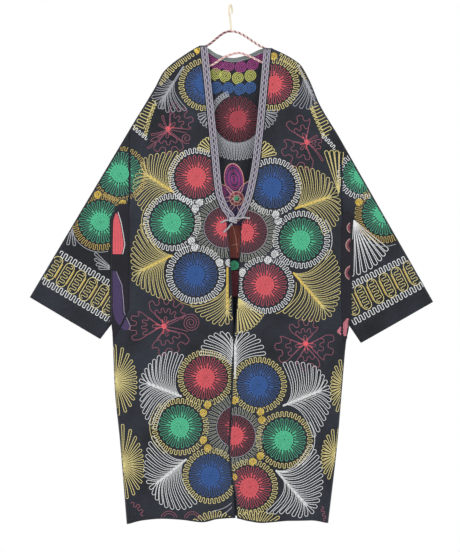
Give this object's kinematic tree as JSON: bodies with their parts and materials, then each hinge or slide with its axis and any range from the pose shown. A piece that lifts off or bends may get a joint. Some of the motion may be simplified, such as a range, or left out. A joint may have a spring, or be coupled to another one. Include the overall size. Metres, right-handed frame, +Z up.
{
  "type": "embroidered robe on a wire hanger",
  "caption": "Wide charcoal robe with dropped sleeves, open front and braided V neck, worked all over in thread, hung flat on a yarn-wrapped wire hanger.",
  "frame": {"origin": "inside top of the hook's crook, on the rail that holds the hanger up", "axes": "+Z up, fronts of the robe towards -Y, sleeves spread along X"},
  "size_m": [1.0484, 0.053, 1.3516],
  "materials": {
    "charcoal_cotton_sateen": "charcoal cotton sateen with a soft sheen, embroidered in chain stitch",
    "plum_printed_cotton": "dark plum cotton with a worked pattern",
    "lavender_silk_braid": "lavender-grey braid on a folded strip",
    "grey_green_binding": "grey-green neck binding",
    "silver_tie_cord": "silver-grey tie cord",
    "pink_and_brown_yarn": "twisted pink and brown yarn wound over wire",
    "cream_hook_wrapping": "cream wrapping wound over the wire hook"
  },
  "bodies": {
    "root": {"back": "charcoal_cotton_sateen", "front_left": "charcoal_cotton_sateen", "front_right": "charcoal_cotton_sateen", "sleeve_left": "charcoal_cotton_sateen", "sleeve_right": "charcoal_cotton_sateen", "gusset_left": "plum_printed_cotton", "gusset_right": "plum_printed_cotton", "neck_band_left": "lavender_silk_braid", "neck_band_right": "lavender_silk_braid", "neck_band_back": "grey_green_binding", "tie_knot": "silver_tie_cord", "tie_end_left": "silver_tie_cord", "tie_end_low": "silver_tie_cord", "tie_end_right": "silver_tie_cord", "hanger_arm_left": "pink_and_brown_yarn", "hanger_arm_right": "pink_and_brown_yarn", "hanger_bar": "pink_and_brown_yarn", "hanger_hook": "cream_hook_wrapping"}
  },
  "joints": []
}
